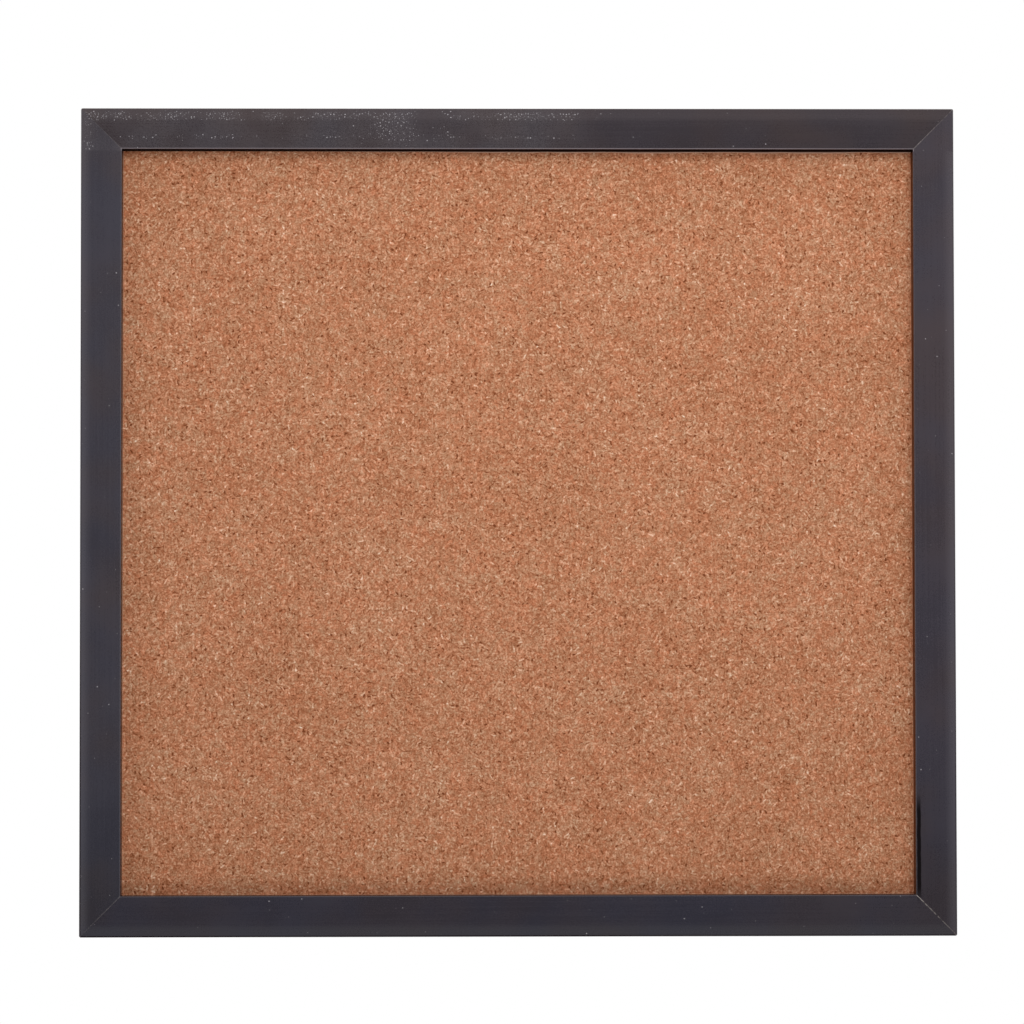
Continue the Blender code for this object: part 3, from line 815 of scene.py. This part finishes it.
def make_frame(film, core):
    """The four sides, slotted for every V-nail, framer's point and hanger screw."""
    for name, turn, length, outer_edge in SIDES:
        mesh = rail_mesh(name, length, outer_edge)
        mesh.transform(Matrix.Translation(CENTRE) @ Matrix.Rotation(turn, 4, "Y"))
        for material in (core, film):
            mesh.materials.append(material)
        mesh = shade_round(cut_away(mesh, slot_cutters(name)), 30)
        add_piece(f"{name}_moulding", mesh, "board", "film_wrap", (core, film), name)


# ---------------------------------------------------------------- the sheets

def granule_levels(x, z, size, seed):
    """For each point, its nearest granule's level in -1..1 and how near its edge is in 0..1."""
    dice = np.random.default_rng(seed)
    columns = int(WIDTH / size) + 6
    rows = int(HEIGHT / size) + 6
    jitter = dice.random((rows, columns, 2))
    levels = dice.random((rows, columns)) * 2 - 1
    u = (x - CORK_LOW.x) / size + 2
    v = (z - CORK_LOW.z) / size + 2
    column, row = u.astype(int), v.astype(int)
    nearest = np.full(u.shape, 9.0)
    second = np.full(u.shape, 9.0)
    level = np.zeros(u.shape)
    for down in (-1, 0, 1):
        for across in (-1, 0, 1):
            i, j = row + down, column + across
            distance = np.hypot(j + jitter[i, j, 0] - u, i + jitter[i, j, 1] - v)
            closer = distance < nearest
            second = np.where(closer, nearest, np.minimum(second, distance))
            level = np.where(closer, levels[i, j], level)
            nearest = np.where(closer, distance, nearest)
    return level, np.clip((second - nearest) * 2, 0, 1)


def cork_relief(x, z):
    """How far the sanded cork stands proud, in metres: granules, worn gaps and small pits."""
    coarse, coarse_edge = granule_levels(x, z, COARSE_RELIEF, 11)
    fine, fine_edge = granule_levels(x, z, FINE_RELIEF, 12)
    pits, pit_edge = granule_levels(x, z, PIT_SPACING, 14)
    proud = COARSE_PROUD * coarse * coarse_edge + FINE_PROUD * fine * fine_edge
    return proud - PIT_DEPTH * np.clip((pits - 0.86) / 0.14, 0, 1) * pit_edge


def make_cork(material):
    """The cork sheet with its granules as real relief on the pinning side."""
    xs = np.linspace(CORK_LOW.x, CORK_HIGH.x, RELIEF_COLUMNS)
    zs = np.linspace(CORK_LOW.z, CORK_HIGH.z, RELIEF_ROWS)
    x, z = np.meshgrid(xs, zs)
    inner = (np.abs(x) < CORK_HIGH.x - MM / 2) & (z > zs[0] + MM / 2) & (z < zs[-1] - MM / 2)
    y = CORK_LOW.y - cork_relief(x, z) * inner
    front = np.stack([x, y, z], axis=-1).reshape(-1, 3)
    index = np.arange(RELIEF_ROWS * RELIEF_COLUMNS).reshape(RELIEF_ROWS, RELIEF_COLUMNS)
    quads = np.stack([index[:-1, :-1], index[:-1, 1:], index[1:, 1:], index[1:, :-1]], axis=-1)
    rim = np.concatenate([index[0, :-1], index[:-1, -1], index[-1, :0:-1], index[:0:-1, 0]])
    back = front[rim].copy()
    back[:, 1] = CORK_HIGH.y
    first = len(front)
    behind = np.arange(first, first + len(rim))
    sides = np.stack([rim, behind, np.roll(behind, -1), np.roll(rim, -1)], axis=-1)
    faces = quads.reshape(-1, 4).tolist() + sides.tolist() + [behind.tolist()]
    mesh = bpy.data.meshes.new("cork_relief")
    mesh.from_pydata(np.concatenate([front, back]).tolist(), [], faces)
    add_piece("cork_relief", shade_round(mesh, 60), "board", "cork", (material,), "cork_sheet")


def dress_node(name, material, bevel):
    """A CAD node that stays, with broken edges and a material."""
    node = frame["nodes"][name]
    node.material_slots[0].link = "OBJECT"
    node.material_slots[0].material = material
    add_bevel(node, bevel)


# ---------------------------------------------------------------- the hangers

def ring_mesh(name):
    """The D-ring's wire about its own pivot: a butted bar, two short sides and a bow."""
    side = RING_HALF_WIDTH - RING_CORNER
    bow = RING_REACH - RING_HALF_WIDTH
    path = [(RING_SEAM / 2, 0)]
    path += arc((side, -RING_CORNER), RING_CORNER, math.pi / 2, 0, 8)
    path += arc((0, -bow), RING_HALF_WIDTH, 0, -math.pi, 40)
    path += arc((-side, -RING_CORNER), RING_CORNER, math.pi, math.pi / 2, 8)
    path += [(-RING_SEAM / 2, 0)]
    solid = bmesh.new()
    rings = []
    for i, (across, up) in enumerate(path):
        before, after = path[max(i - 1, 0)], path[min(i + 1, len(path) - 1)]
        run = Vector((after[0] - before[0], after[1] - before[1])).normalized()
        ring = []
        for k in range(WIRE_SIDES):
            angle = 2 * math.pi * k / WIRE_SIDES
            out = WIRE_RADIUS * math.cos(angle)
            point = (across + run.y * out, WIRE_RADIUS * math.sin(angle), up - run.x * out)
            ring.append(solid.verts.new(point))
        rings.append(ring)
    loft(solid, rings)
    mesh = finished_mesh(name, solid)
    mesh.transform(Matrix.Rotation(RING_REST_TILT, 4, "X"))
    return shade_round(mesh, 50)


def strap_path(pivot_back):
    """The strap's middle line as (back, up): up the frame, round the bar, down and back."""
    loop_radius = WIRE_RADIUS + WIRE_CLEARANCE + STRAP_THICKNESS / 2
    lower_leaf = LEAF_GAP + STRAP_THICKNESS / 2
    upper_leaf = lower_leaf + STRAP_THICKNESS + LEAF_GAP
    loop = arc((pivot_back, 0), loop_radius, math.pi, -STRAP_RETURN, 30)
    leave = loop[-1]
    fall = (leave[0] - upper_leaf) / math.sin(STRAP_RETURN)
    knee_up = leave[1] - fall * math.cos(STRAP_RETURN)
    reach = STRAP_BEND * math.tan(STRAP_RETURN / 2)
    bend_centre = (upper_leaf + STRAP_BEND, knee_up - reach)
    bend = arc(bend_centre, STRAP_BEND, math.pi - STRAP_RETURN, math.pi, 8)
    return [(lower_leaf, -SCREW_DROP)] + loop + bend + [(upper_leaf, -SCREW_DROP)]


def strap_mesh(name, pivot_back):
    """The folded strap with round ends, a screw hole and rolled edges."""
    path = strap_path(pivot_back)
    columns = [math.sin(math.pi * (i / STRAP_COLUMNS - 0.5)) for i in range(STRAP_COLUMNS + 1)]
    half = STRAP_WIDTH / 2
    strip = bmesh.new()
    rows = []
    for number, (back, up) in enumerate(path):
        at_end = number in (0, len(path) - 1)
        bulges = [half * math.sqrt(max(0, 1 - c * c)) if at_end else 0 for c in columns]
        rows.append([strip.verts.new((half * c, back, up - bulge))
                     for c, bulge in zip(columns, bulges)])
    for lower, upper in zip(rows, rows[1:]):
        for i in range(len(columns) - 1):
            strip.faces.new((lower[i], lower[i + 1], upper[i + 1], upper[i]))
    strap = bpy.data.objects.new(name, finished_mesh(name, strip))
    bpy.context.scene.collection.objects.link(strap)
    leaf = strap.modifiers.new("thickness", "SOLIDIFY")
    leaf.thickness = STRAP_THICKNESS
    leaf.offset = 0
    leaf.use_even_offset = True
    thick = baked(strap)
    bpy.data.objects.remove(strap, do_unlink=True)
    hole = turned_cylinder("hole", SCREW_HOLE, -MM, 4 * MM)
    hole.transform(Matrix.Translation((0, 0, -SCREW_DROP)))
    return cut_away(thick, [hole])


def screw_rows():
    """The screw's rings as (radius, height) at each side: the dome, its rim and the thread."""
    turns = [math.pi / 2 * i / 10 for i in range(1, 11)]
    rows = [[(HEAD_RADIUS * math.sin(a), HEAD_HEIGHT * math.cos(a)**0.8)] * SCREW_SIDES
            for a in turns]
    rows.append([(HEAD_RADIUS * 0.96, 0.0)] * SCREW_SIDES)
    length = 0.0
    while length < SCREW_LENGTH:
        taper = min(1.0, (SCREW_LENGTH - length) / SCREW_POINT)
        row = []
        for k in range(SCREW_SIDES):
            phase = (length / THREAD_PITCH + k / SCREW_SIDES) % 1
            crest = max(0.0, 1 - abs(phase - 0.5) * 5)
            radius = (SHANK_RADIUS - THREAD_DEPTH * (1 - crest)) * taper
            row.append((max(radius, 0.02 * MM), -length))
        rows.append(row)
        length += THREAD_PITCH / THREAD_STEPS
    return rows


def screw_mesh(name):
    """A pan-head screw along Y, its seat at Y = 0: domed head, cross recess, real thread."""
    solid = bmesh.new()
    rings = []
    for row in screw_rows():
        ring = []
        for k, (radius, height) in enumerate(row):
            angle = 2 * math.pi * k / SCREW_SIDES
            ring.append(solid.verts.new((radius * math.cos(angle), height,
                                         radius * math.sin(angle))))
        rings.append(ring)
    loft(solid, rings)
    return cut_away(finished_mesh(name, solid), [recess_mesh()])


def recess_mesh():
    """A cross recess that narrows as it goes down into the screw's head."""
    arm, root, tip = (HEAD_RADIUS * part for part in (0.56, 0.16, 0.11))
    quarter = [(arm, tip), (root, root), (tip, arm)]
    outline = []
    for _ in range(4):
        outline += quarter
        quarter = [(-z, x) for x, z in quarter]
    solid = bmesh.new()
    levels = ((HEAD_HEIGHT * 0.35, 0.45), (HEAD_HEIGHT * 1.2, 1.08))
    rings = [[solid.verts.new((x * scale, height, z * scale)) for x, z in outline]
             for height, scale in levels]
    loft(solid, rings)
    return finished_mesh("recess", solid)


def make_hangers(bright, zinc):
    for side in ("left", "right"):
        pivot = PIVOTS[f"{side}_ring"]
        ring = ring_mesh(f"{side}_ring_wire")
        ring.transform(Matrix.Translation(pivot))
        add_piece(f"{side}_ring_wire", ring, f"{side}_ring", "bright_steel", (bright,),
                  f"{side}_d_ring")
        strap = strap_mesh(f"{side}_strap_fold", pivot.y)
        strap.transform(Matrix.Translation((pivot.x, 0, pivot.z)))
        strap = add_piece(f"{side}_strap_fold", shade_round(strap, 40), "board", "zinc_steel",
                          (zinc,), f"{side}_hanger_strap")
        add_bevel(strap, STRAP_EDGE)
        screw = screw_mesh(f"{side}_screw_turned")
        head_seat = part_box(f"{side}_hanger_screw")[1].y - HEAD_HEIGHT
        screw.transform(Matrix.Translation((pivot.x, head_seat, pivot.z - SCREW_DROP)))
        add_piece(f"{side}_screw_turned", shade_round(screw, 30), "board", "zinc_steel",
                  (zinc,), f"{side}_hanger_screw")


# ---------------------------------------------------------------- the studio

def look_from(obj, position, target):
    obj.location = position
    obj.rotation_euler = (Vector(target) - Vector(position)).to_track_quat("-Z", "Y").to_euler()


def make_camera():
    camera = bpy.data.objects.new("camera", bpy.data.cameras.new("camera"))
    bpy.context.scene.collection.objects.link(camera)
    camera.data.lens = LENS
    camera.data.sensor_width = 36
    position = (CENTRE.x + CAMERA_OFFSET[0], FRONT - CAMERA_DISTANCE, CENTRE.z + CAMERA_OFFSET[1])
    look_from(camera, position, (CENTRE.x + AIM_OFFSET[0], FRONT, CENTRE.z + AIM_OFFSET[1]))
    camera.rotation_euler.rotate_axis("Z", CAMERA_ROLL)
    camera.data.clip_end = 100
    bpy.context.scene.camera = camera


def make_light(name, offset, size, watts):
    """A soft round light aimed at the frame, seen neither by the camera nor in gloss."""
    data = bpy.data.lights.new(name, "AREA")
    data.shape = "DISK"
    data.size = size
    data.energy = watts
    light = bpy.data.objects.new(name, data)
    bpy.context.scene.collection.objects.link(light)
    face = Vector((CENTRE.x, FRONT, CENTRE.z))
    look_from(light, face + Vector(offset), face)
    light.visible_camera = False
    light.visible_glossy = False


def make_world():
    """A white room: in gloss it is dim round the camera and bright elsewhere."""
    n = Nodes(bpy.data.worlds.new("studio"))
    bpy.context.scene.world = n.owner
    direction = n.add("TexCoord", "Generated", {})
    _, _, height = n.axes(direction)
    towards = Vector(DIM_DIRECTION).normalized()
    facing = n.add("VectorMath", "Value", {0: direction, 1: towards}, operation="DOT_PRODUCT")
    gloss = n.span(n.maths("ARCCOSINE", facing), DIM_ANGLE, BRIGHT_ANGLE, DIM_GLOSS, BRIGHT_GLOSS)
    tint = n.mix(n.span(height, -0.25, 0.25), (0.88, 0.96, 1.14), (1.10, 0.96, 0.94))
    gloss = n.mix(1.0, n.join(gloss, gloss, gloss), tint, "MULTIPLY")
    soft = n.span(height, -0.6, 0.9, 0.24, 0.66)
    rays = n.add("LightPath", 0, {}).node.outputs
    light = n.mix(rays["Is Glossy Ray"], n.join(soft, soft, soft), gloss)
    seen = n.mix(rays["Is Camera Ray"], light, (1.0, 1.0, 1.0))
    n.feed(n.tree.nodes["Background"].inputs["Color"], seen)


def floor_material():
    n = Nodes(bpy.data.materials.new("floor_paint"))
    mottle = n.noise(n.place(), 400.0, detail=3.0)
    return n.finish(base_color=n.ramp(mottle, (0.3, (0.86, 0.86, 0.85)), (0.7, (0.89, 0.89, 0.88))),
                    roughness=0.8)


def make_studio():
    scene = bpy.context.scene
    scene.view_settings.view_transform = "Standard"
    plane = bmesh.new()
    bmesh.ops.create_grid(plane, x_segments=8, y_segments=8, size=FLOOR_SIZE)
    mesh = finished_mesh("floor", plane)
    mesh.materials.append(floor_material())
    floor = bpy.data.objects.new("floor", mesh)
    floor.location = (0, 0, BOTTOM - FLOOR_DROP)
    scene.collection.objects.link(floor)

    for name, (offset, size, watts) in LIGHTS.items():
        make_light(name, offset, size, watts)
    make_world()


def main():
    make_camera()
    make_studio()
    film, core = film_material(), core_material()
    bright = steel_material("bright_steel", (0.60, 0.60, 0.62), 0.36, (1.0, 1.0, 0.25))
    zinc = steel_material("zinc_steel", (0.68, 0.69, 0.71), 0.32, (1.0, 1.0, 0.12))
    make_frame(film, core)
    make_cork(cork_material())
    dress_node("core_board", fibreboard_material(), CORE_EDGE)
    dress_node("back_panel", hardboard_material(), PANEL_EDGE)
    for name in frame["nodes"]:
        if name.startswith("v_nail"):
            dress_node(name, bright, NAIL_EDGE)
        elif name.startswith("framer_point"):
            dress_node(name, bright, POINT_EDGE)
    make_hangers(bright, zinc)


main()
